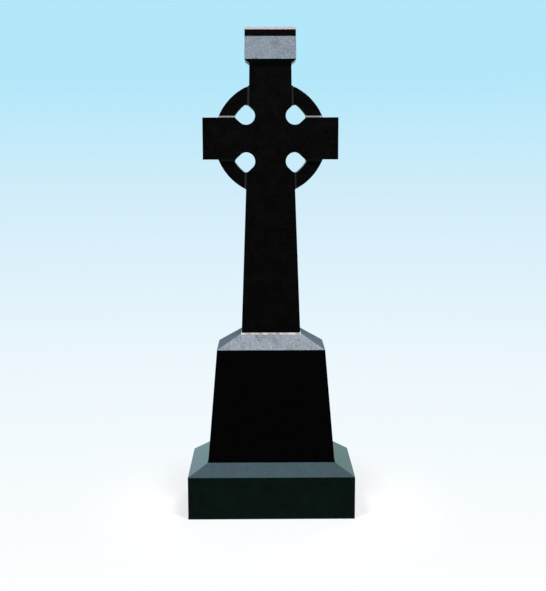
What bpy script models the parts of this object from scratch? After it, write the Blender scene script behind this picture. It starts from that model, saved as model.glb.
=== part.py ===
"""A ringed cross of polished granite on a tapered die and a weathered base.

The front faces -Y, +Z is up, and the origin is at the middle of the base's underside.
"""

import math

import bmesh
import bpy
from mathutils import Matrix, Vector

# Base: an upright block whose top slopes up on four sides to the die
BASE_WIDTH = 0.762
BASE_DEPTH = 0.457
BASE_SIDE_HEIGHT = 0.197
BASE_SLOPE_RISE = 0.056

# Die: a battered block whose top slopes up on four sides to the cross
DIE_FOOT_WIDTH = 0.580
DIE_FOOT_DEPTH = 0.356
DIE_TOP_WIDTH = 0.495
DIE_TOP_DEPTH = 0.253
DIE_SIDE_HEIGHT = 0.514
DIE_SLOPE_RISE = 0.070

# Beds: each seat is a little larger than the stone that stands on it
SEAT_MARGIN = 0.002
BED_GAP = 0.0003

# Limbs of the cross, with heights above or below its centre
CROSS_THICKNESS = 0.145
CENTRE_HEIGHT = 0.885
SHAFT_FOOT_WIDTH = 0.270
SHAFT_TOP_WIDTH = 0.212
ARM_SPAN = 0.609
ARM_HEIGHT = 0.187
HEAD_FOOT_WIDTH = 0.193
NECK_WIDTH = 0.187
NECK_HEIGHT = 0.330

# Ring: sunk behind the limbs' faces, with a splay down to it from each limb
RING_OUTER_RADIUS = 0.253
RING_WIDTH = 0.063
RING_RECESS = 0.018
SPLAY_RUN = 0.008
SPLAY_SETBACK = 0.0005
RING_STEPS = 96

# Armpits: a round-ended opening through each, which runs out to the ring
ARMPIT_RADIUS = 0.0395
ARMPIT_OUTSET = 0.0055
ARMPIT_STEPS = 20

# Cap: a flared neck, a roof over the flare and an upright ridge
FLARE_OUT = 0.021
FLARE_RISE = 0.017
ROOF_RISE = 0.104
RIDGE_DEPTH = 0.076
RIDGE_HEIGHT = 0.042
RIDGE_CHAMFER = 0.012

# Colours of the stone, linear
BASE_COLOUR = (0.010, 0.014, 0.012, 1.0)
DIE_COLOUR = (0.006, 0.007, 0.006, 1.0)
CROSS_COLOUR = (0.005, 0.005, 0.006, 1.0)
POLISH_ROUGHNESS = 0.12

QUADRANTS = [(1, 1), (-1, 1), (-1, -1), (1, -1)]


def clear_scene():
    for thing in list(bpy.data.objects):
        bpy.data.objects.remove(thing, do_unlink=True)


def new_collection(name):
    collection = bpy.data.collections.new(name)
    bpy.context.scene.collection.children.link(collection)
    return collection


def granite(name, colour):
    material = bpy.data.materials.new(name)
    material.use_nodes = True
    shader = material.node_tree.nodes["Principled BSDF"]
    shader.inputs["Base Color"].default_value = colour
    shader.inputs["Roughness"].default_value = POLISH_ROUGHNESS
    shader.inputs["Metallic"].default_value = 0.0
    return material


def add_object(name, bm, collection, material=None):
    bmesh.ops.recalc_face_normals(bm, faces=bm.faces)
    mesh = bpy.data.meshes.new(name)
    bm.to_mesh(mesh)
    bm.free()
    if material:
        mesh.materials.append(material)
    thing = bpy.data.objects.new(name, mesh)
    collection.objects.link(thing)
    return thing


def size_section(verts, width, depth, height):
    """Move the four corners of a level section to a width, a depth and a height."""
    for vert in verts:
        vert.co = (math.copysign(width / 2, vert.co.x), math.copysign(depth / 2, vert.co.y), height)


def top_face(bm):
    return max(bm.faces, key=lambda face: face.calc_center_median().z + face.normal.z)


def build_up(bm, sections):
    """Draw the top face up through (width, depth, height) sections."""
    for section in sections:
        drawn = bmesh.ops.extrude_discrete_faces(bm, faces=[top_face(bm)])
        size_section(drawn["faces"][0].verts, *section)
        bm.normal_update()


def block(foot, sections):
    """A stone with a rectangular foot, drawn up through level sections."""
    bm = bmesh.new()
    bmesh.ops.create_cube(bm, size=1.0)
    size_section([vert for vert in bm.verts if vert.co.z < 0], *foot, 0.0)
    size_section([vert for vert in bm.verts if vert.co.z > 0], *sections[0])
    bm.normal_update()
    build_up(bm, sections[1:])
    return bm


def make_base(collection):
    seat_width = DIE_FOOT_WIDTH + 2 * SEAT_MARGIN
    seat_depth = DIE_FOOT_DEPTH + 2 * SEAT_MARGIN
    sections = [
        (BASE_WIDTH, BASE_DEPTH, BASE_SIDE_HEIGHT),
        (seat_width, seat_depth, BASE_SIDE_HEIGHT + BASE_SLOPE_RISE),
    ]
    bm = block((BASE_WIDTH, BASE_DEPTH), sections)
    return add_object("base", bm, collection, granite("base_granite", BASE_COLOUR))


def make_die(collection):
    seat_width = SHAFT_FOOT_WIDTH + 2 * SEAT_MARGIN
    seat_depth = CROSS_THICKNESS + 2 * SEAT_MARGIN
    sections = [
        (DIE_TOP_WIDTH, DIE_TOP_DEPTH, DIE_SIDE_HEIGHT),
        (seat_width, seat_depth, DIE_SIDE_HEIGHT + DIE_SLOPE_RISE),
    ]
    bm = block((DIE_FOOT_WIDTH, DIE_FOOT_DEPTH), sections)
    return add_object("die", bm, collection, granite("die_granite", DIE_COLOUR))


def arc(radius, start, end, steps, centre=(0.0, 0.0)):
    """Points round a centre from one angle to another, both ends included."""
    angles = [start + (end - start) * step / steps for step in range(steps + 1)]
    return [Vector(centre) + radius * Vector((math.cos(angle), math.sin(angle))) for angle in angles]


def ring_steps(start, end):
    return max(2, round(RING_STEPS * abs(end - start) / math.tau))


def ring_crossing(outside, inside):
    """The point where a limb's edge passes in through the ring's outer circle."""
    run = inside - outside
    half = run.dot(outside) / run.length_squared
    excess = (outside.length_squared - RING_OUTER_RADIUS**2) / run.length_squared
    return outside + run * (-half - math.sqrt(half**2 - excess))


def limb_edges():
    """Right-hand edges of the shaft and the head limb, each from its end to the arms."""
    arm_edge = ARM_HEIGHT / 2
    shaft = Vector((SHAFT_FOOT_WIDTH / 2, -CENTRE_HEIGHT)), Vector((SHAFT_TOP_WIDTH / 2, -arm_edge))
    head = Vector((NECK_WIDTH / 2, NECK_HEIGHT)), Vector((HEAD_FOOT_WIDTH / 2, arm_edge))
    return shaft, head


def ring_arc(start, end):
    """Points along the ring's outer circle between two points on it."""
    first = math.atan2(start.y, start.x)
    last = math.atan2(end.y, end.x)
    return arc(RING_OUTER_RADIUS, first, last, ring_steps(first, last))


def cross_outline():
    """Limbs and ring seen from the front, round the cross's centre."""
    shaft, head = limb_edges()
    arm_edge = ARM_HEIGHT / 2
    arm_root = math.sqrt(RING_OUTER_RADIUS**2 - arm_edge**2)
    right = [shaft[0]]
    right += ring_arc(ring_crossing(*shaft), Vector((arm_root, -arm_edge)))
    right += [Vector((ARM_SPAN / 2, -arm_edge)), Vector((ARM_SPAN / 2, arm_edge))]
    right += ring_arc(Vector((arm_root, arm_edge)), ring_crossing(*head))
    right += [head[0]]
    left = [Vector((-point.x, point.y)) for point in reversed(right)]
    return right + left


def armpit_outline(side, level):
    """One pierced armpit: a round end towards the centre, closed by the ring's inner circle."""
    across = (SHAFT_TOP_WIDTH + HEAD_FOOT_WIDTH) / 4 + ARMPIT_OUTSET
    centre = Vector((side * across, level * (ARM_HEIGHT / 2 + ARMPIT_OUTSET)))
    axis = math.atan2(centre.y, centre.x)
    inner_radius = RING_OUTER_RADIUS - RING_WIDTH
    spread = math.asin(ARMPIT_RADIUS / inner_radius)
    round_end = arc(ARMPIT_RADIUS, axis + math.pi / 2, axis + 3 * math.pi / 2, ARMPIT_STEPS, centre)
    return round_end + arc(inner_radius, axis - spread, axis + spread, ring_steps(-spread, spread))


def add_spline(curve, points):
    spline = curve.splines.new("POLY")
    spline.points.add(len(points) - 1)
    spline.use_cyclic_u = True
    for target, point in zip(spline.points, points):
        target.co = (point.x, point.y, 0.0, 1.0)


def slab_from_outlines(outlines, thickness):
    """An upright slab in the XZ plane, cut from a flat outline with openings in it."""
    curve = bpy.data.curves.new("cross_outline", "CURVE")
    curve.dimensions = "2D"
    curve.fill_mode = "BOTH"
    curve.extrude = thickness / 2
    for points in outlines:
        add_spline(curve, points)
    drawing = bpy.data.objects.new("cross_outline", curve)
    bpy.context.scene.collection.objects.link(drawing)
    graph = bpy.context.evaluated_depsgraph_get()
    mesh = bpy.data.meshes.new_from_object(drawing.evaluated_get(graph))
    bm = bmesh.new()
    bm.from_mesh(mesh)
    bmesh.ops.remove_doubles(bm, verts=bm.verts, dist=0.00001)
    bmesh.ops.rotate(bm, verts=bm.verts, cent=(0, 0, 0), matrix=Matrix.Rotation(math.pi / 2, 3, "X"))
    bmesh.ops.recalc_face_normals(bm, faces=bm.faces)
    bpy.data.objects.remove(drawing)
    bpy.data.meshes.remove(mesh)
    return bm


def cap_sections():
    """Widths, depths and heights up the cap, from the eaves to the ridge's top."""
    width = NECK_WIDTH + 2 * FLARE_OUT
    eaves = NECK_HEIGHT + FLARE_RISE
    ridge_foot = eaves + ROOF_RISE
    ridge_top = ridge_foot + RIDGE_HEIGHT
    return [
        (width, CROSS_THICKNESS + 2 * FLARE_OUT, eaves),
        (width, RIDGE_DEPTH, ridge_foot),
        (width, RIDGE_DEPTH, ridge_top - RIDGE_CHAMFER),
        (width, RIDGE_DEPTH - 2 * RIDGE_CHAMFER, ridge_top),
    ]


def edge_across(edge, height):
    """Distance of a limb's edge from the middle line at a height."""
    end, root = edge
    return end.x + (root.x - end.x) * (height - end.y) / (root.y - end.y)


def add_sinking(bm, side, level, face):
    """A block that sinks one quarter of the ring on one face, splayed along the limbs."""
    shaft, head = limb_edges()
    edge = head if level > 0 else shaft
    far = RING_OUTER_RADIUS + RING_RECESS
    for vert in bmesh.ops.create_cube(bm, size=2.0)["verts"]:
        outward, upward, depth = vert.co
        away = SPLAY_SETBACK - depth * SPLAY_RUN
        height = level * (far if upward > 0 else ARM_HEIGHT / 2 + away)
        across = far if outward > 0 else edge_across(edge, height) + away
        vert.co = (side * across, face * (CROSS_THICKNESS / 2 + depth * RING_RECESS), height)


def sink_ring(cross, cutters):
    """Sink the ring behind the limbs on the front and the back."""
    for face, name in ((-1, "front_sinking"), (1, "back_sinking")):
        bm = bmesh.new()
        for side, level in QUADRANTS:
            add_sinking(bm, side, level, face)
        cutter = add_object(name, bm, cutters)
        cutter.parent = cross
        cutter.hide_render = True
        cutter.display_type = "WIRE"
        cut = cross.modifiers.new(name, "BOOLEAN")
        cut.operation = "DIFFERENCE"
        cut.object = cutter


def make_cross(collection, cutters):
    outlines = [cross_outline()] + [armpit_outline(side, level) for side, level in QUADRANTS]
    bm = slab_from_outlines(outlines, CROSS_THICKNESS)
    build_up(bm, cap_sections())
    cross = add_object("cross", bm, collection, granite("cross_granite", CROSS_COLOUR))
    sink_ring(cross, cutters)
    return cross


def main():
    clear_scene()
    stones = new_collection("ringed_cross_headstone")
    cutters = new_collection("cutters")
    make_base(stones)
    die = make_die(stones)
    cross = make_cross(stones, cutters)
    base_top = BASE_SIDE_HEIGHT + BASE_SLOPE_RISE
    die.location.z = base_top + BED_GAP
    die_top = die.location.z + DIE_SIDE_HEIGHT + DIE_SLOPE_RISE
    cross.location.z = die_top + BED_GAP + CENTRE_HEIGHT


main()
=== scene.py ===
"""A ringed cross of polished black granite on its die and base, in a pale studio."""

import math

import bmesh
import bpy
from mathutils import Matrix, Vector


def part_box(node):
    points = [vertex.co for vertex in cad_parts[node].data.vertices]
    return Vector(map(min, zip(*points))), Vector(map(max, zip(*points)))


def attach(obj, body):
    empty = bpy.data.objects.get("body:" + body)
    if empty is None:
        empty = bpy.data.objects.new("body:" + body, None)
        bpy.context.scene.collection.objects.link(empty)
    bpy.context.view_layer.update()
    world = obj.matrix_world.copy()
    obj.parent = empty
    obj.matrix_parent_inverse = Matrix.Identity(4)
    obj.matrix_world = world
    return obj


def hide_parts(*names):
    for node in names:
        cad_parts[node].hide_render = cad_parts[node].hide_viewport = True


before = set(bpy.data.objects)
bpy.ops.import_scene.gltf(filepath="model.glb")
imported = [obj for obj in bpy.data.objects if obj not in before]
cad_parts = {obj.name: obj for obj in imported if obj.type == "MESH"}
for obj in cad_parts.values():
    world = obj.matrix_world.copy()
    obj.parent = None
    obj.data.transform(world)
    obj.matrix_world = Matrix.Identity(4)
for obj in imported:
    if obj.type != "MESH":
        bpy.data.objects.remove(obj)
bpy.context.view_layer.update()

# The stones' boxes as built
BASE_LOW, BASE_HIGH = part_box("base")
DIE_LOW, DIE_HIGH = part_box("die")
CROSS_LOW, CROSS_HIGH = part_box("cross")

# Base and die: heights of the sides, the top of the die's sides, and the level rim round each seat
BASE_SIDE_HEIGHT = 0.197
DIE_SIDE_HEIGHT = 0.514
DIE_TOP_WIDTH = 0.495
DIE_TOP_DEPTH = 0.253
SEAT_MARGIN = 0.002

# Limbs of the cross, with heights from the middle of the arms
CENTRE = Vector((0.0, 0.0, CROSS_LOW.z + 0.885))
THICKNESS = 0.145
SHAFT_FOOT_WIDTH = 0.270
SHAFT_TOP_WIDTH = 0.212
ARM_SPAN = CROSS_HIGH.x - CROSS_LOW.x
ARM_HEIGHT = 0.187
HEAD_FOOT_WIDTH = 0.193
NECK_WIDTH = 0.187
NECK_HEIGHT = 0.330

# Ring
RING_OUTER_RADIUS = 0.253
RING_INNER_RADIUS = 0.1918
RING_RECESS = 0.018
RING_SIDES = 192
SPLAY_RUN = 0.0075
QUADRANTS = [(1, 1), (-1, 1), (-1, -1), (1, -1)]

# Armpits
ARMPIT_RADIUS = 0.0403
ARMPIT_OUTSET = 0.0080
ARMPIT_SHAFT_CORNER = 0.021
ARMPIT_ARM_CORNER = 0.016
ARMPIT_STEPS = 24

# Cap
CAP_WIDTH = 0.229
CAP_DEPTH = CROSS_HIGH.y - CROSS_LOW.y
EAVES_HEIGHT = 0.347
ROOF_RISE = 0.104
RIDGE_DEPTH = 0.076
RIDGE_CHAMFER = 0.012

# Mortar round the cross's foot
POINTING_OUT = 0.0070
POINTING_SIDE_OUT = 0.0024
POINTING_DROP = 0.0072
POINTING_RISE = 0.0004

# Rubbed edges
ARRIS = 0.0009
ARRIS_SEGMENTS = 2
SHARP_ANGLE = math.radians(20)
SMOOTH_ANGLE = math.radians(8)

# How close two places are when they count as one
HAIR = 0.0001
SAME_HEIGHT = 0.0005
WELD_DISTANCE = 0.00005

# How much of a face's normal points along an axis, by the way that the face looks
LOOKS_ALONG = 0.9
SLOPE_LOOKS_UP = (0.2, 0.98)
SPLAY_LOOKS_OUT = (0.35, 0.5)
# Splays that look up more than this get the pale painted highlight
LEDGE_LOOKS_UP = 0.5

# Camera, as the photograph was taken
CAMERA_PLACE = (-0.0301, -4.6078, 1.6739)
CAMERA_YAW = math.radians(0.5035)
CAMERA_PITCH = math.radians(-8.3083)
CAMERA_ROLL = math.radians(-0.1217)
CAMERA_LENS = 60.91


# Modelling helpers


def deselect_all():
    if bpy.context.object and bpy.context.object.mode == "EDIT":
        bpy.ops.object.mode_set(mode="OBJECT")
    bpy.ops.object.select_all(action="DESELECT")


def take(piece):
    """Make one object the only one selected, and active."""
    deselect_all()
    piece.select_set(True)
    bpy.context.view_layer.objects.active = piece


def settle(piece, name):
    """Name a new primitive and put its place, turn and size into its mesh."""
    piece.name = name
    piece.data.name = name
    bpy.ops.object.transform_apply(location=True, rotation=True, scale=True)
    return piece


def add_block(name, low, high):
    deselect_all()
    low, high = Vector(low), Vector(high)
    bpy.ops.mesh.primitive_cube_add(size=1.0, location=(low + high) / 2)
    bpy.context.object.scale = high - low
    return settle(bpy.context.object, name)


def add_disc(name, centre, radius, thickness, sides):
    """A round slab that faces the front and the back."""
    deselect_all()
    bpy.ops.mesh.primitive_cylinder_add(
        vertices=sides, radius=radius, depth=thickness, location=centre, rotation=(math.pi / 2, 0, 0)
    )
    return settle(bpy.context.object, name)


def enter_edit(piece, mode):
    """Enter edit mode with nothing selected."""
    take(piece)
    bpy.ops.object.mode_set(mode="EDIT")
    bpy.ops.mesh.select_mode(type=mode)
    bpy.ops.mesh.select_all(action="DESELECT")
    return bmesh.from_edit_mesh(piece.data)


def edit_faces(piece, wanted):
    """Enter edit mode with only the wanted faces selected, and give the corners that they span."""
    shape = enter_edit(piece, "FACE")
    chosen = [face for face in shape.faces if wanted(face)]
    for face in chosen:
        face.select_set(True)
    bmesh.update_edit_mesh(piece.data)
    places = [vert.co.copy() for face in chosen for vert in face.verts]
    return Vector(map(min, *places)), Vector(map(max, *places))


def edit_edges(piece, wanted):
    """Enter edit mode with only the wanted edges selected."""
    shape = enter_edit(piece, "EDGE")
    for edge in shape.edges:
        edge.select_set(wanted(edge))
    bmesh.update_edit_mesh(piece.data)


def edit_all(piece):
    """Enter edit mode with everything selected."""
    take(piece)
    bpy.ops.object.mode_set(mode="EDIT")
    bpy.ops.mesh.select_all(action="SELECT")


def leave_edit():
    bpy.ops.object.mode_set(mode="OBJECT")


def facing_up(height):
    """A test for level faces at one height."""

    def wanted(face):
        return face.normal.z > LOOKS_ALONG and abs(face.calc_center_median().z - height) < SAME_HEIGHT

    return wanted


def size_top(piece, height, width, depth):
    """Size the level top face about the middle line."""
    low, high = edit_faces(piece, facing_up(height))
    ratio = (width / (high.x - low.x), depth / (high.y - low.y), 1.0)
    bpy.ops.transform.resize(value=ratio, center_override=(0.0, 0.0, height))
    leave_edit()


def draw_up(piece, from_height, height, width, depth):
    """Extrude the level top face up and size it there."""
    edit_faces(piece, facing_up(from_height))
    bpy.ops.mesh.extrude_region_move(TRANSFORM_OT_translate={"value": (0.0, 0.0, height - from_height)})
    leave_edit()
    size_top(piece, height, width, depth)


def rub_edges(piece):
    """Ease every sharp outer edge, as a mason rubs the arrises down."""
    edit_edges(piece, lambda edge: edge.is_manifold and edge.calc_face_angle_signed() > SHARP_ANGLE)
    bpy.ops.mesh.bevel(offset=ARRIS, segments=ARRIS_SEGMENTS)
    leave_edit()


def round_corner(piece, x, z, radius, segments):
    """Round the edge that runs from the front to the back at one place."""
    edit_edges(piece, lambda edge: all(math.dist(vert.co.xz, (x, z)) < HAIR for vert in edge.verts))
    bpy.ops.mesh.bevel(offset=radius, segments=segments)
    leave_edit()


def cut_away(piece, point, normal):
    """Cut a block along a plane and keep the side that the normal points to."""
    edit_all(piece)
    bpy.ops.mesh.bisect(plane_co=point, plane_no=normal, use_fill=True, clear_inner=True)
    leave_edit()


def weld(piece):
    """Merge the near-doubled corners that a cut leaves, and drop slivers."""
    edit_all(piece)
    bpy.ops.mesh.remove_doubles(threshold=WELD_DISTANCE)
    bpy.ops.mesh.dissolve_degenerate(threshold=WELD_DISTANCE)
    leave_edit()


def combine(piece, tool, operation):
    """Join, cut or trim a piece with a tool, and clear the tool away."""
    take(piece)
    step = piece.modifiers.new(tool.name, "BOOLEAN")
    step.operation = operation
    step.object = tool
    bpy.ops.object.modifier_apply(modifier=step.name)
    bpy.data.objects.remove(tool)


def join_all(pieces):
    take(pieces[0])
    for piece in pieces:
        piece.select_set(True)
    bpy.ops.object.join()
    return pieces[0]


def copy_of(piece):
    """A copy with its own mesh."""
    take(piece)
    bpy.ops.object.duplicate()
    return bpy.context.object


def smooth_round_faces(piece):
    take(piece)
    bpy.ops.object.shade_smooth_by_angle(angle=SMOOTH_ANGLE)


# Base and die


def weathered_block(name, low, high, side_height, top, seat):
    """A block with upright or battered sides, whose top slopes up on four sides to a seat."""
    side_top = low.z + side_height
    stone = add_block(name, low, (high.x, high.y, side_top))
    size_top(stone, side_top, *top)
    draw_up(stone, side_top, high.z, *seat)
    rub_edges(stone)
    smooth_round_faces(stone)
    return stone


def make_base():
    width, depth, _ = BASE_HIGH - BASE_LOW
    die_width, die_depth, _ = DIE_HIGH - DIE_LOW
    seat = (die_width + 2 * SEAT_MARGIN, die_depth + 2 * SEAT_MARGIN)
    return weathered_block("base_stone", BASE_LOW, BASE_HIGH, BASE_SIDE_HEIGHT, (width, depth), seat)


def make_die():
    top = (DIE_TOP_WIDTH, DIE_TOP_DEPTH)
    seat = (SHAFT_FOOT_WIDTH + 2 * SEAT_MARGIN, THICKNESS + 2 * SEAT_MARGIN)
    return weathered_block("die_stone", DIE_LOW, DIE_HIGH, DIE_SIDE_HEIGHT, top, seat)


# Limbs and cap


def make_limbs():
    """Shaft and head, with the cap drawn up from the neck and the arms drawn out of the flanks."""
    under_arms = CENTRE.z - ARM_HEIGHT / 2
    ridge_foot = CENTRE.z + EAVES_HEIGHT + ROOF_RISE
    levels = [
        (CENTRE.z + ARM_HEIGHT / 2, HEAD_FOOT_WIDTH, THICKNESS),
        (CENTRE.z + NECK_HEIGHT, NECK_WIDTH, THICKNESS),
        (CENTRE.z + EAVES_HEIGHT, CAP_WIDTH, CAP_DEPTH),
        (ridge_foot, CAP_WIDTH, RIDGE_DEPTH),
        (CROSS_HIGH.z - RIDGE_CHAMFER, CAP_WIDTH, RIDGE_DEPTH),
        (CROSS_HIGH.z, CAP_WIDTH, RIDGE_DEPTH - 2 * RIDGE_CHAMFER),
    ]
    shaft_low = (-SHAFT_FOOT_WIDTH / 2, -THICKNESS / 2, CROSS_LOW.z)
    limbs = add_block("cross_stone", shaft_low, (SHAFT_FOOT_WIDTH / 2, THICKNESS / 2, under_arms))
    size_top(limbs, under_arms, SHAFT_TOP_WIDTH, THICKNESS)
    height = under_arms
    for next_height, width, depth in levels:
        draw_up(limbs, height, next_height, width, depth)
        height = next_height
    for side in (1, -1):
        draw_arm(limbs, side)
    rub_edges(limbs)
    return limbs


def draw_arm(limbs, side):
    """Extrude one arm from the flank between the shaft and the head, and square its end."""

    def flank(face):
        place = face.calc_center_median()
        return face.normal.x * side > LOOKS_ALONG and abs(place.z - CENTRE.z) < ARM_HEIGHT / 4

    edit_faces(limbs, flank)
    bpy.ops.mesh.extrude_region_move(TRANSFORM_OT_translate={"value": (side * ARM_SPAN / 4, 0.0, 0.0)})
    bpy.ops.transform.resize(value=(0.0, 1.0, 1.0), center_override=(0.0, 0.0, 0.0))
    bpy.ops.transform.translate(value=(side * ARM_SPAN / 2, 0.0, 0.0))
    leave_edit()


# Ring


def limb_edge(side, level, face):
    """Two points on the edge of the shaft or the head that runs down one quarter of the ring."""
    front = face * THICKNESS / 2
    if level > 0:
        near, far = (HEAD_FOOT_WIDTH, ARM_HEIGHT / 2), (NECK_WIDTH, NECK_HEIGHT)
    else:
        near, far = (SHAFT_TOP_WIDTH, -ARM_HEIGHT / 2), (SHAFT_FOOT_WIDTH, CROSS_LOW.z - CENTRE.z)
    return [CENTRE + Vector((side * width / 2, front, height)) for width, height in (near, far)]


def arm_edge(side, level, face):
    """Two points on the edge of an arm that runs along one quarter of the ring."""
    near = CENTRE + Vector((0.0, face * THICKNESS / 2, level * ARM_HEIGHT / 2))
    return [near, near + Vector((side * ARM_SPAN / 2, 0.0, 0.0))]


def splay_plane(near, far, outward, face):
    """Normal of the slope from a limb's edge out and down to the ring's sunk face."""
    slope = outward * SPLAY_RUN + Vector((0.0, -face * RING_RECESS, 0.0))
    normal = (far - near).cross(slope).normalized()
    return normal if normal.dot(outward) > 0 else -normal


def add_sinking(side, level, face):
    """The waste taken off one quarter of the ring on one face, splayed along both limbs."""
    floor = face * (THICKNESS / 2 - RING_RECESS)
    over = face * (THICKNESS / 2 + RING_RECESS)
    reach = RING_OUTER_RADIUS + RING_RECESS
    corners = (0.0, floor, 0.0), (side * reach, over, level * reach)
    low = CENTRE + Vector(map(min, *corners))
    high = CENTRE + Vector(map(max, *corners))
    waste = add_block("ring_waste", low, high)
    near, far = limb_edge(side, level, face)
    cut_away(waste, near, splay_plane(near, far, Vector((side, 0.0, 0.0)), face))
    near, far = arm_edge(side, level, face)
    cut_away(waste, near, splay_plane(near, far, Vector((0.0, 0.0, level)), face))
    return waste


def make_ring():
    """The ring's disc, sunk in its four quarters on both faces."""
    ring = add_disc("ring", CENTRE, RING_OUTER_RADIUS, THICKNESS - ARRIS, RING_SIDES)
    waste = [add_sinking(side, level, face) for side, level in QUADRANTS for face in (-1, 1)]
    combine(ring, join_all(waste), "DIFFERENCE")
    rub_edges(ring)
    return ring


# Armpits


def add_armpit(side, level):
    """A plug that is round towards the centre and closed by the ring, with rounded corners."""
    across = (SHAFT_TOP_WIDTH + HEAD_FOOT_WIDTH) / 4 + ARMPIT_OUTSET
    offset = Vector((side * across, 0.0, level * (ARM_HEIGHT / 2 + ARMPIT_OUTSET)))
    out = RING_INNER_RADIUS + ARRIS - offset.length
    radius = ARMPIT_RADIUS
    plug = add_block("armpit", (-radius, -THICKNESS, -radius), (out, THICKNESS, radius))
    for z in (radius, -radius):
        round_corner(plug, -radius, z, radius - HAIR, ARMPIT_STEPS)
    shaft_side = side * level * radius
    round_corner(plug, out, shaft_side, ARMPIT_SHAFT_CORNER, ARMPIT_STEPS // 2)
    round_corner(plug, out, -shaft_side, ARMPIT_ARM_CORNER, ARMPIT_STEPS // 2)
    plug.location = CENTRE + offset
    plug.rotation_euler = (0.0, math.atan2(-offset.z, offset.x), 0.0)
    take(plug)
    settle(plug, "armpit")
    ring_eye = add_disc("ring_eye", CENTRE, RING_INNER_RADIUS, 3 * THICKNESS, RING_SIDES)
    combine(plug, ring_eye, "INTERSECT")
    return plug


def make_cross():
    cross = make_limbs()
    combine(cross, make_ring(), "UNION")
    combine(cross, join_all([add_armpit(side, level) for side, level in QUADRANTS]), "DIFFERENCE")
    weld(cross)
    smooth_round_faces(cross)
    return cross


# Bed joint


def make_pointing(die, cross):
    """A thin bead of pale mortar round the cross's foot, wiped closer at the sides."""
    width = SHAFT_FOOT_WIDTH + 2 * POINTING_SIDE_OUT
    depth = THICKNESS + 2 * POINTING_OUT
    low = (-width / 2, -depth / 2, CROSS_LOW.z - POINTING_DROP)
    bead = add_block("bed_pointing", low, (width / 2, depth / 2, CROSS_LOW.z))
    draw_up(bead, CROSS_LOW.z, CROSS_LOW.z + POINTING_RISE, SHAFT_FOOT_WIDTH, THICKNESS)
    for stone in (die, cross):
        combine(bead, copy_of(stone), "DIFFERENCE")
    weld(bead)
    return bead


# Node helpers


def linear(value):
    """The linear level of a screen level from 0 to 255."""
    level = value / 255
    return level / 12.92 if level <= 0.04045 else ((level + 0.055) / 1.055) ** 2.4


def srgb(red, green, blue):
    return (linear(red), linear(green), linear(blue), 1.0)


def feed(tree, value, socket):
    """Link another node's output to a socket, or set a plain value on it."""
    if isinstance(value, bpy.types.NodeSocket):
        tree.links.new(value, socket)
    else:
        socket.default_value = value


def spread(tree, value, low, high):
    """Spread a 0 to 1 value between two levels."""
    node = tree.nodes.new("ShaderNodeMapRange")
    node.inputs["To Min"].default_value = low
    node.inputs["To Max"].default_value = high
    tree.links.new(value, node.inputs["Value"])
    return node.outputs["Result"]


def ease(tree, value, low, high):
    """0 at one value and 1 at the other, eased."""
    node = tree.nodes.new("ShaderNodeMapRange")
    node.interpolation_type = "SMOOTHSTEP"
    node.inputs["From Min"].default_value = low
    node.inputs["From Max"].default_value = high
    tree.links.new(value, node.inputs["Value"])
    return node.outputs["Result"]


def reckon(tree, operation, first, *others):
    """Add or multiply values one after another."""
    total = first
    for value in others:
        node = tree.nodes.new("ShaderNodeMath")
        node.operation = operation
        feed(tree, total, node.inputs[0])
        feed(tree, value, node.inputs[1])
        total = node.outputs[0]
    return total


def colour_sockets(sockets, names):
    """The colour sockets of a Mix node, which share their names with its float ones."""
    return [socket for socket in sockets if socket.type == "RGBA" and socket.name in names]


def blend(tree, factor, first, second, way="MIX"):
    """Mix or multiply two colours, each a plain colour or another node's output."""
    node = tree.nodes.new("ShaderNodeMix")
    node.data_type = "RGBA"
    node.blend_type = way
    tree.links.new(factor, node.inputs[0])
    for socket, value in zip(colour_sockets(node.inputs, "AB"), (first, second)):
        feed(tree, value, socket)
    return colour_sockets(node.outputs, ["Result"])[0]


def noise(tree, vector, scale, detail):
    node = tree.nodes.new("ShaderNodeTexNoise")
    tree.links.new(vector, node.inputs["Vector"])
    feed(tree, scale, node.inputs["Scale"])
    node.inputs["Detail"].default_value = detail
    return node.outputs["Fac"]


def crystals(tree, vector, scale):
    """Three separate values for each crystal of a packed mass."""
    node = tree.nodes.new("ShaderNodeTexVoronoi")
    values = tree.nodes.new("ShaderNodeSeparateColor")
    tree.links.new(vector, node.inputs["Vector"])
    feed(tree, scale, node.inputs["Scale"])
    tree.links.new(node.outputs["Color"], values.inputs["Color"])
    return values.outputs


def add_bump(tree, shader, height, strength, distance):
    node = tree.nodes.new("ShaderNodeBump")
    node.inputs["Strength"].default_value = strength
    node.inputs["Distance"].default_value = distance
    tree.links.new(height, node.inputs["Height"])
    tree.links.new(node.outputs["Normal"], shader.inputs["Normal"])


def new_finish(name):
    """A new material, with its node tree and its shader."""
    material = bpy.data.materials.new(name)
    material.use_nodes = True
    return material, material.node_tree, material.node_tree.nodes["Principled BSDF"]


# Grain of the granite: scales of its parts as shares of the fine crystals' scale
COARSE_SHARE = 0.37
GRAIN_SHARE = 0.4
TINT_SHARE = 0.2
CLOUDS_PER_METRE = 20.0
CLOUD_DETAIL = 4.0
SOFT_DETAIL = 1.0
COARSE_WEIGHT = 0.45
FLECK_VALUES = (0.86, 0.97)


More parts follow.
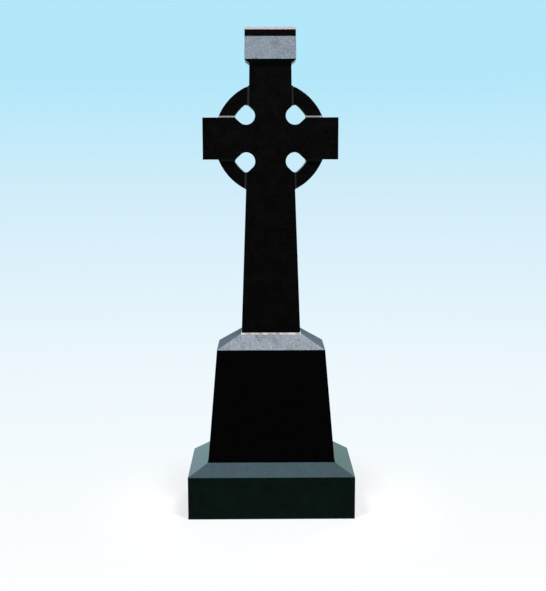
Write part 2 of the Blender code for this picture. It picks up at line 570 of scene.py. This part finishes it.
def crystal_grain():
    """Node group: crystals, bright flecks, grains, tinted patches and clouds of a fine granite."""
    group = bpy.data.node_groups.new("crystal_grain", "ShaderNodeTree")
    group.interface.new_socket(name="Vector", in_out="INPUT", socket_type="NodeSocketVector")
    group.interface.new_socket(name="Scale", in_out="INPUT", socket_type="NodeSocketFloat")
    for name in ("Cells", "Flecks", "Grains", "Tints", "Clouds"):
        group.interface.new_socket(name=name, in_out="OUTPUT", socket_type="NodeSocketFloat")
    inputs = group.nodes.new("NodeGroupInput").outputs
    outputs = group.nodes.new("NodeGroupOutput").inputs
    vector, scale = inputs["Vector"], inputs["Scale"]

    fine = crystals(group, vector, scale)
    coarse = crystals(group, vector, reckon(group, "MULTIPLY", scale, COARSE_SHARE))
    cells = group.nodes.new("ShaderNodeMix")
    cells.inputs["Factor"].default_value = COARSE_WEIGHT
    group.links.new(fine["Red"], cells.inputs["A"])
    group.links.new(coarse["Green"], cells.inputs["B"])
    group.links.new(cells.outputs["Result"], outputs["Cells"])

    flecks = group.nodes.new("ShaderNodeMapRange")
    flecks.inputs["From Min"].default_value = FLECK_VALUES[0]
    flecks.inputs["From Max"].default_value = FLECK_VALUES[1]
    group.links.new(fine["Blue"], flecks.inputs["Value"])
    group.links.new(flecks.outputs["Result"], outputs["Flecks"])

    grains = noise(group, vector, reckon(group, "MULTIPLY", scale, GRAIN_SHARE), SOFT_DETAIL)
    tints = noise(group, vector, reckon(group, "MULTIPLY", scale, TINT_SHARE), SOFT_DETAIL)
    clouds = noise(group, vector, CLOUDS_PER_METRE, CLOUD_DETAIL)
    group.links.new(grains, outputs["Grains"])
    group.links.new(tints, outputs["Tints"])
    group.links.new(clouds, outputs["Clouds"])
    return group


def place_grain(tree, grain, crystals_per_metre):
    coordinates = tree.nodes.new("ShaderNodeTexCoord")
    stone = tree.nodes.new("ShaderNodeGroup")
    stone.node_tree = grain
    stone.inputs["Scale"].default_value = crystals_per_metre
    tree.links.new(coordinates.outputs["Object"], stone.inputs["Vector"])
    return stone.outputs


# Granite: what both finishes share
GRANITE_IOR = 1.52
WARM_PATCHES = (0.36, 0.64)

# Polished granite
POLISHED_CRYSTALS = 520.0
CLOUDY_PATCHES = (0.42, 0.66)
POLISH_ROUGHNESS = (0.03, 0.07)

# Honed granite: how far crystals, grains and clouds move the roughness
HONED_CRYSTALS = 330.0
DULLEST_CRYSTAL = 0.06
BRIGHTEST_CRYSTAL = -0.12
GRAIN_RUBBING = (0.32, -0.24)
CLOUD_RUBBING = (0.26, -0.26)
HONED_BUMP = 0.4
HONED_BUMP_DEPTH = 0.00005


def polished_granite(name, grain, ground, crystal, warm, fleck, cloud):
    """Mirror-polished stone: nearly black, with crystals and clouds just showing."""
    material, tree, shader = new_finish(name)
    stone = place_grain(tree, grain, POLISHED_CRYSTALS)
    body = blend(tree, stone["Cells"], ground, crystal)
    tinted = blend(tree, ease(tree, stone["Tints"], *WARM_PATCHES), body, warm)
    clouded = blend(tree, ease(tree, stone["Clouds"], *CLOUDY_PATCHES), tinted, cloud)
    colour = blend(tree, stone["Flecks"], clouded, fleck)
    tree.links.new(colour, shader.inputs["Base Color"])
    tree.links.new(spread(tree, stone["Clouds"], *POLISH_ROUGHNESS), shader.inputs["Roughness"])
    shader.inputs["IOR"].default_value = GRANITE_IOR
    return material


def honed_granite(name, grain, dark, light, warm, fleck, roughness, gloss):
    """Rubbed but unpolished stone: a dull grey that sparkles where crystals face the light."""
    material, tree, shader = new_finish(name)
    stone = place_grain(tree, grain, HONED_CRYSTALS)
    body = blend(tree, stone["Cells"], dark, light)
    tinted = blend(tree, ease(tree, stone["Tints"], *WARM_PATCHES), body, warm)
    colour = blend(tree, stone["Flecks"], tinted, fleck)
    tree.links.new(colour, shader.inputs["Base Color"])
    by_crystal = spread(tree, stone["Cells"], roughness + DULLEST_CRYSTAL, roughness + BRIGHTEST_CRYSTAL)
    by_grain = spread(tree, stone["Grains"], *GRAIN_RUBBING)
    by_cloud = spread(tree, stone["Clouds"], *CLOUD_RUBBING)
    tree.links.new(reckon(tree, "ADD", by_crystal, by_grain, by_cloud), shader.inputs["Roughness"])
    shader.inputs["IOR"].default_value = GRANITE_IOR
    shader.inputs["Specular IOR Level"].default_value = gloss
    add_bump(tree, shader, stone["Grains"], HONED_BUMP, HONED_BUMP_DEPTH)
    return material


# Finishes of the base, the die and the cross


def base_polish(grain):
    """Greenish black sides."""
    return polished_granite(
        "base_polish",
        grain,
        ground=srgb(1, 3, 3),
        crystal=srgb(10, 16, 13),
        warm=srgb(10, 12, 11),
        fleck=srgb(24, 34, 29),
        cloud=srgb(5, 18, 12),
    )


def base_slope_painted_light(grain):
    """The slopes: the stone's own crystals, painted paler and more teal than the sides, painted light
    where they face the sky.
    """
    return polished_granite(
        "base_slope_painted_light",
        grain,
        ground=srgb(1, 5, 6),
        crystal=srgb(8, 16, 20),
        warm=srgb(17, 12, 17),
        fleck=srgb(62, 57, 64),
        cloud=srgb(10, 30, 31),
    )


def die_polish(grain):
    """The blackest of the three stones."""
    return polished_granite(
        "die_polish",
        grain,
        ground=srgb(1, 1, 1),
        crystal=srgb(3, 3, 3),
        warm=srgb(3, 2, 2),
        fleck=srgb(12, 13, 13),
        cloud=srgb(3, 3, 3),
    )


def cross_polish(grain):
    """Black with a trace of grey in it."""
    return polished_granite(
        "cross_polish",
        grain,
        ground=srgb(1, 1, 1),
        crystal=srgb(8, 8, 7),
        warm=srgb(6, 5, 5),
        fleck=srgb(24, 25, 24),
        cloud=srgb(7, 8, 7),
    )


def die_honed(grain):
    """Blue-grey slopes round the cross's seat."""
    return honed_granite(
        "die_honed",
        grain,
        dark=srgb(20, 42, 50),
        light=srgb(65, 72, 91),
        warm=srgb(57, 59, 65),
        fleck=srgb(124, 118, 126),
        roughness=0.47,
        gloss=0.84,
    )


def roof_honed(grain):
    """Blue-grey roof of the cap."""
    return honed_granite(
        "cross_honed",
        grain,
        dark=srgb(20, 44, 56),
        light=srgb(62, 70, 89),
        warm=srgb(55, 59, 66),
        fleck=srgb(112, 106, 116),
        roughness=0.50,
        gloss=0.65,
    )


def ridge_painted_highlight(grain):
    """Top of the ridge, painted pale: a painted highlight where it faces up to the light."""
    return honed_granite(
        "ridge_painted_highlight",
        grain,
        dark=srgb(128, 120, 122),
        light=srgb(146, 136, 138),
        warm=srgb(138, 128, 130),
        fleck=srgb(166, 156, 157),
        roughness=0.55,
        gloss=0.5,
    )


def ledge_painted_highlight(grain):
    """Splays above the arms, painted pale: a painted highlight where they face up to the light."""
    return honed_granite(
        "ledge_painted_highlight",
        grain,
        dark=srgb(104, 99, 101),
        light=srgb(120, 113, 115),
        warm=srgb(113, 106, 108),
        fleck=srgb(140, 132, 134),
        roughness=0.55,
        gloss=0.5,
    )


def splay_rubbed(grain):
    """The other splays, rubbed and dark."""
    return honed_granite(
        "splay_rubbed",
        grain,
        dark=srgb(34, 36, 38),
        light=srgb(46, 48, 50),
        warm=srgb(42, 42, 43),
        fleck=srgb(70, 72, 74),
        roughness=0.50,
        gloss=0.5,
    )


# Mortar
MORTAR_PATCHES_PER_METRE = 38.0
MORTAR_DETAIL = 5.0
MORTAR_WORN = (0.38, 0.62)
MORTAR_DARK = srgb(170, 169, 166)
MORTAR_PALE = srgb(238, 236, 234)
MORTAR_ROUGHNESS = 0.85
MORTAR_BUMP = 0.5
MORTAR_BUMP_DEPTH = 0.0006


def pale_mortar():
    """Pale grey mortar, darker where it has weathered."""
    material, tree, shader = new_finish("pale_mortar")
    coordinates = tree.nodes.new("ShaderNodeTexCoord")
    patches = noise(tree, coordinates.outputs["Object"], MORTAR_PATCHES_PER_METRE, MORTAR_DETAIL)
    colour = blend(tree, ease(tree, patches, *MORTAR_WORN), MORTAR_DARK, MORTAR_PALE)
    tree.links.new(colour, shader.inputs["Base Color"])
    shader.inputs["Roughness"].default_value = MORTAR_ROUGHNESS
    add_bump(tree, shader, patches, MORTAR_BUMP, MORTAR_BUMP_DEPTH)
    return material


# Which face gets which finish
SIDE, SLOPE = range(2)
POLISHED, ROOF, RIDGE, LEDGE, SPLAY = range(5)


def give_finishes(stone, finishes, choose):
    """Give each face the finish that the chooser picks for it."""
    stone.data.materials.clear()
    for finish in finishes:
        stone.data.materials.append(finish)
    for face in stone.data.polygons:
        face.material_index = choose(face)


def between(value, low, high):
    return low < value < high


def slopes_up(face):
    return between(face.normal.z, *SLOPE_LOOKS_UP)


def side_or_slope(face):
    return SLOPE if slopes_up(face) else SIDE


def cross_finish(face):
    """Honed roof slopes, a ridge and upper ledges painted pale as a painted highlight where they face
    up, and dark rubbed splays.
    """
    # Ridge faces that look up get the pale finish, a painted highlight
    if face.center.z > CROSS_HIGH.z - 1.5 * RIDGE_CHAMFER:
        return RIDGE if face.normal.z > SLOPE_LOOKS_UP[0] else POLISHED
    if face.center.z > CENTRE.z + EAVES_HEIGHT - ARRIS:
        return ROOF if slopes_up(face) else POLISHED
    from_centre = face.center - CENTRE
    in_ring = math.hypot(from_centre.x, from_centre.z) < RING_OUTER_RADIUS
    if not in_ring or not between(abs(face.normal.y), *SPLAY_LOOKS_OUT):
        return POLISHED
    # Up-facing splays get the pale finish, a painted highlight; the others stay dark
    return LEDGE if face.normal.z > LEDGE_LOOKS_UP else SPLAY


def dress(base, die, cross, pointing):
    """Give every stone its finishes, and the joint its mortar."""
    grain = crystal_grain()
    # The base's slopes take a paler copy of its polish, painted light where they face up
    give_finishes(base, [base_polish(grain), base_slope_painted_light(grain)], side_or_slope)
    give_finishes(die, [die_polish(grain), die_honed(grain)], side_or_slope)
    cross_finishes = [cross_polish, roof_honed, ridge_painted_highlight, ledge_painted_highlight, splay_rubbed]
    give_finishes(cross, [finish(grain) for finish in cross_finishes], cross_finish)
    pointing.data.materials.append(pale_mortar())


# Backdrop: colours from low to high, over this range of the view's rise
BACKDROP_RISE = (-0.42, 0.07)
BACKDROP_STOPS = [
    (0.0, (1.0, 1.0, 1.0, 1.0)),
    (0.43, (0.84, 0.93, 0.98, 1.0)),
    (0.76, (0.65, 0.845, 0.955, 1.0)),
    (1.0, (0.45, 0.80, 0.955, 1.0)),
]

# Surroundings that the polish mirrors: grass, dark trees, and a bright high sky
SKY_RISE = (-1.0, 1.0)
SKY_STOPS = [
    (0.25, (0.026, 0.070, 0.054, 1.0)),
    (0.34, (0.026, 0.070, 0.054, 1.0)),
    (0.39, (0.016, 0.018, 0.018, 1.0)),
    (0.46, (0.014, 0.015, 0.015, 1.0)),
    (0.55, (0.020, 0.021, 0.022, 1.0)),
    (0.72, (0.136, 0.196, 0.228, 1.0)),
    (0.86, (1.270, 2.110, 2.580, 1.0)),
    (1.0, (1.480, 2.240, 2.660, 1.0)),
]

# Glow on the horizon behind: where it lies, and how much is left in its middle and on the right
HORIZON_GLOW = (0.56, 0.86, 0.92, 1.0)
GLOW_BACK = (0.55, 0.95)
GLOW_TOP = (0.16, 0.08)
GLOW_FOOT = (-0.02, 0.01)
GLOW_GAP = (0.996, 0.955)
GLOW_IN_GAP = 0.45
TO_RIGHT = (-0.1, 0.3)
GLOW_AT_RIGHT = 0.78
RIGHT_TINT = (0.95, 1.02, 0.92, 1.0)

# Paler court low on the left, so that faces part in the slanting views
TO_LEFT = (-0.35, -0.70)
COURT_TOP = (0.30, 0.05)
LEFT_COURT = (0.30, 0.34, 0.35, 1.0)

# Light on unpolished surfaces
FILL_LIGHT = (0.26, 0.28, 0.31, 1.0)


def height_ramp(tree, rise, span, stops):
    """A colour ramp over the rise of the view's direction."""
    place = tree.nodes.new("ShaderNodeMapRange")
    place.inputs["From Min"].default_value = span[0]
    place.inputs["From Max"].default_value = span[1]
    ramp = tree.nodes.new("ShaderNodeValToRGB")
    while len(ramp.color_ramp.elements) < len(stops):
        ramp.color_ramp.elements.new(0.5)
    for element, (position, colour) in zip(ramp.color_ramp.elements, stops):
        element.position = position
        element.color = colour
    tree.links.new(rise, place.inputs["Value"])
    tree.links.new(place.outputs["Result"], ramp.inputs["Fac"])
    return ramp.outputs["Color"]


def mirrored_surroundings(tree, direction):
    """What the polish mirrors: sky and trees, the glow behind, and the court."""
    right, back, up = direction["X"], direction["Y"], direction["Z"]
    sky = height_ramp(tree, up, SKY_RISE, SKY_STOPS)
    to_right = ease(tree, right, *TO_RIGHT)
    glow = reckon(
        tree,
        "MULTIPLY",
        ease(tree, back, *GLOW_BACK),
        ease(tree, up, *GLOW_TOP),
        ease(tree, up, *GLOW_FOOT),
        spread(tree, ease(tree, back, *GLOW_GAP), GLOW_IN_GAP, 1.0),
        spread(tree, to_right, 1.0, GLOW_AT_RIGHT),
    )
    open_air = blend(tree, glow, sky, HORIZON_GLOW)
    tinted = blend(tree, to_right, open_air, RIGHT_TINT, "MULTIPLY")
    court = reckon(tree, "MULTIPLY", ease(tree, right, *TO_LEFT), ease(tree, up, *COURT_TOP))
    return blend(tree, court, tinted, LEFT_COURT)


def make_world():
    """A pale backdrop for the camera, an even fill light, and surroundings for the polish alone."""
    world = bpy.data.worlds.new("studio")
    bpy.context.scene.world = world
    world.use_nodes = True
    tree = world.node_tree
    tree.nodes.clear()
    coordinates = tree.nodes.new("ShaderNodeTexCoord")
    direction = tree.nodes.new("ShaderNodeSeparateXYZ")
    tree.links.new(coordinates.outputs["Generated"], direction.inputs["Vector"])
    path = tree.nodes.new("ShaderNodeLightPath").outputs
    mirrored = mirrored_surroundings(tree, direction.outputs)
    lit = blend(tree, path["Is Glossy Ray"], FILL_LIGHT, mirrored)
    backdrop = height_ramp(tree, direction.outputs["Z"], BACKDROP_RISE, BACKDROP_STOPS)
    seen = blend(tree, path["Is Camera Ray"], lit, backdrop)
    background = tree.nodes.new("ShaderNodeBackground")
    output = tree.nodes.new("ShaderNodeOutputWorld")
    tree.links.new(seen, background.inputs["Color"])
    tree.links.new(background.outputs["Background"], output.inputs["Surface"])


# Floor
FLOOR_RADIUS = 3.0
FLOOR_SIDES = 96
FLOOR_DROP = 0.0005
FLOOR_COLOUR = (0.38, 0.385, 0.39, 1.0)
FLOOR_GLOW = (0.545, 0.553, 0.56, 1.0)
FLOOR_ROUGHNESS = 0.9
FLOOR_FADE = (1.0, 0.45)


def pale_floor():
    """A lit pale ground that fades out at this range of distances."""
    material, tree, shader = new_finish("pale_floor")
    shader.inputs["Base Color"].default_value = FLOOR_COLOUR
    shader.inputs["Emission Color"].default_value = FLOOR_GLOW
    shader.inputs["Emission Strength"].default_value = 1.0
    shader.inputs["Roughness"].default_value = FLOOR_ROUGHNESS
    shader.inputs["Specular IOR Level"].default_value = 0.0
    coordinates = tree.nodes.new("ShaderNodeTexCoord")
    distance = tree.nodes.new("ShaderNodeVectorMath")
    distance.operation = "LENGTH"
    tree.links.new(coordinates.outputs["Object"], distance.inputs[0])
    tree.links.new(ease(tree, distance.outputs["Value"], *FLOOR_FADE), shader.inputs["Alpha"])
    return material


def make_floor():
    """A pale floor round the base, which the polish doesn't mirror."""
    deselect_all()
    bpy.ops.mesh.primitive_circle_add(
        vertices=FLOOR_SIDES, radius=FLOOR_RADIUS, fill_type="NGON", location=(0, 0, -FLOOR_DROP)
    )
    floor = bpy.context.object
    floor.name = "floor"
    floor.data.materials.append(pale_floor())
    floor.visible_glossy = False


# Softboxes: name, degrees round the stone from the front to the viewer's right, degrees up, power
SOFTBOXES = [
    ("left_softbox", -35, 55, 238.0),
    ("right_softbox", 35, 55, 238.0),
    ("back_softbox", 165, 55, 110.0),
]
SOFTBOX_SIZE = 1.3
SOFTBOX_DISTANCE = 6.0
SOFTBOX_AIM = Vector((0.0, 0.0, 1.2))
SOFTBOX_COLOUR = (1.0, 0.975, 0.98)


def add_softbox(name, azimuth, elevation, power):
    """A square softbox that is turned to the middle of the stone."""
    turn, rise = math.radians(azimuth), math.radians(elevation)
    towards = Vector((math.sin(turn) * math.cos(rise), -math.cos(turn) * math.cos(rise), math.sin(rise)))
    light = bpy.data.lights.new(name, "AREA")
    light.shape = "SQUARE"
    light.size = SOFTBOX_SIZE
    light.energy = power
    light.color = SOFTBOX_COLOUR
    box = bpy.data.objects.new(name, light)
    box.location = SOFTBOX_AIM + towards * SOFTBOX_DISTANCE
    box.rotation_euler = towards.to_track_quat("Z", "Y").to_euler()
    bpy.context.scene.collection.objects.link(box)


def make_camera():
    camera = bpy.data.objects.new("camera", bpy.data.cameras.new("camera"))
    camera.data.lens = CAMERA_LENS
    turn = Matrix.Rotation(-CAMERA_YAW, 4, "Z") @ Matrix.Rotation(math.pi / 2 + CAMERA_PITCH, 4, "X")
    camera.matrix_world = Matrix.Translation(CAMERA_PLACE) @ turn @ Matrix.Rotation(CAMERA_ROLL, 4, "Z")
    bpy.context.scene.collection.objects.link(camera)
    bpy.context.scene.camera = camera


def make_studio():
    make_world()
    make_floor()
    for softbox in SOFTBOXES:
        add_softbox(*softbox)
    make_camera()
    bpy.context.scene.view_settings.view_transform = "Standard"


def main():
    base, die, cross = make_base(), make_die(), make_cross()
    pointing = make_pointing(die, cross)
    dress(base, die, cross, pointing)
    for stone, node in ((base, "base"), (die, "die"), (cross, "cross")):
        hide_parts(node)
        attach(stone, "root")
    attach(pointing, "root")
    make_studio()


main()
